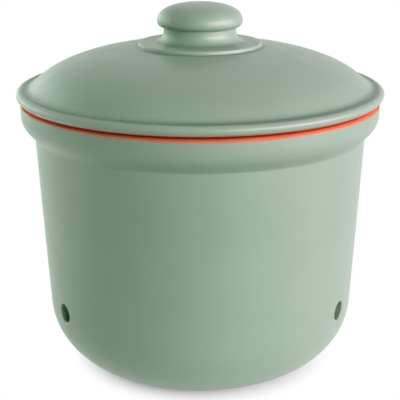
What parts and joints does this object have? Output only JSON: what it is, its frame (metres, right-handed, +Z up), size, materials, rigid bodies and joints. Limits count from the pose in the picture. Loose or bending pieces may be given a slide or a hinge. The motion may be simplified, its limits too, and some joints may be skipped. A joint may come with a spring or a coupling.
{
  "type": "storage crock",
  "caption": "Glazed earthenware storage crock with a thick collar, vent holes low in the wall, a bare clay rim and a loose domed lid with a hollow mushroom knob.",
  "frame": {"origin": "middle of the underside of the foot ring, on the surface that the crock stands on", "axes": "+Z up along the axis of the crock and its lid, front towards -Y with a vent on each side of it, back towards +Y with a vent on it"},
  "size_m": [0.2392, 0.2392, 0.2423],
  "materials": {
    "sage_glaze": "satin sage green glaze over orange red earthenware, which is bare and matt at the rim, inside, under the lid and under the foot"
  },
  "bodies": {
    "crock": {"crock": "sage_glaze"},
    "lid": {"lid": "sage_glaze"}
  },
  "joints": [
    {"name": "lid_lift", "type": "slide", "parent": "crock", "child": "lid", "axis": [0, 0, 1], "range_m": [0, 0.2]}
  ]
}
